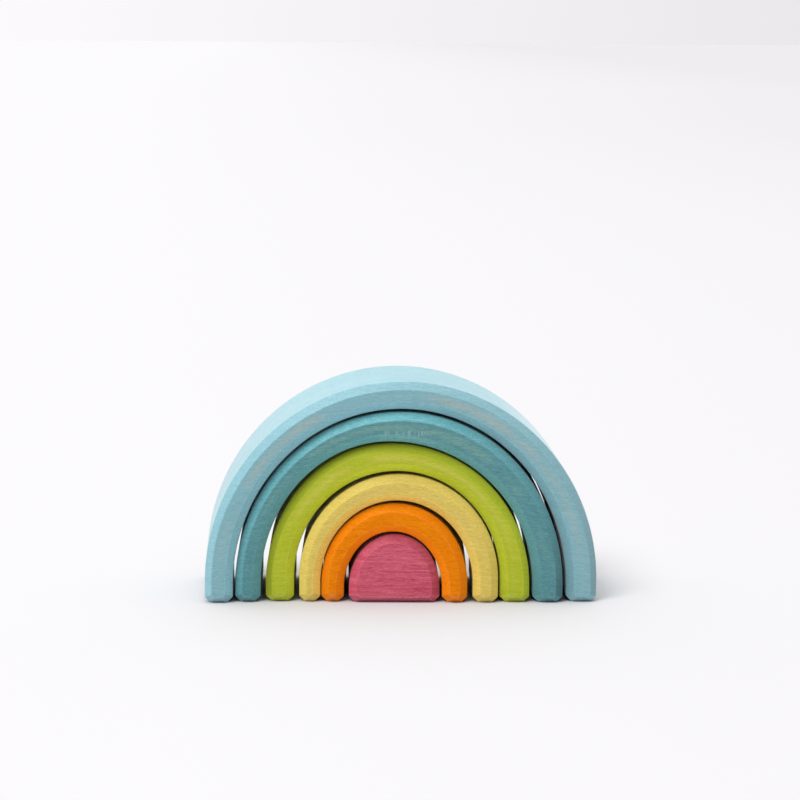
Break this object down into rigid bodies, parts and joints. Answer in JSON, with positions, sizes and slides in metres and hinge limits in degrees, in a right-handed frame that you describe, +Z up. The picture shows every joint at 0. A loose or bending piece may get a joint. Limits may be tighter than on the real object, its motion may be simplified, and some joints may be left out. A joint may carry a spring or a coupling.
{
  "type": "rainbow stacker",
  "caption": "Nesting rainbow toy: stained wooden arches of growing size round a solid half-round core, each pulled out to stack, balance or build with.",
  "frame": {"origin": "on the surface the blocks stand on, under the middle of the outermost arch's width and depth", "axes": "+X along the row of feet, to the right seen from the front; +Y through the depth of the blocks, away from the front; +Z up towards the crowns"},
  "size_m": [0.17, 0.0632, 0.0964],
  "materials": {
    "sky_blue_stained_wood": "matt water-based stain on sanded lime wood, grain along the width",
    "teal_stained_wood": "matt water-based stain on sanded lime wood, grain along the width",
    "green_stained_wood": "matt water-based stain on sanded lime wood, grain along the width",
    "yellow_stained_wood": "matt water-based stain on sanded lime wood, grain along the width",
    "orange_stained_wood": "matt water-based stain on sanded lime wood, grain along the width",
    "pink_stained_wood": "matt water-based stain on sanded lime wood, grain along the width"
  },
  "bodies": {
    "sky_blue_arch": {"sky_blue_arch": "sky_blue_stained_wood"},
    "teal_arch": {"teal_arch": "teal_stained_wood"},
    "green_arch": {"green_arch": "green_stained_wood"},
    "yellow_arch": {"yellow_arch": "yellow_stained_wood"},
    "orange_arch": {"orange_arch": "orange_stained_wood"},
    "pink_core": {"pink_core": "pink_stained_wood"}
  },
  "joints": [
    {"name": "teal_slide", "type": "slide", "parent": "sky_blue_arch", "child": "teal_arch", "axis": [0, -1, 0], "range_m": [-0.065, 0.065]},
    {"name": "green_slide", "type": "slide", "parent": "teal_arch", "child": "green_arch", "axis": [-0.0227, -0.9997, 0], "range_m": [-0.065, 0.065]},
    {"name": "yellow_slide", "type": "slide", "parent": "green_arch", "child": "yellow_arch", "axis": [-0.0332, -0.9995, 0], "range_m": [-0.065, 0.065]},
    {"name": "orange_slide", "type": "slide", "parent": "yellow_arch", "child": "orange_arch", "axis": [-0.0419, -0.9991, 0], "range_m": [-0.065, 0.065]},
    {"name": "core_slide", "type": "slide", "parent": "orange_arch", "child": "pink_core", "axis": [-0.0506, -0.9987, 0], "range_m": [-0.065, 0.065]}
  ]
}
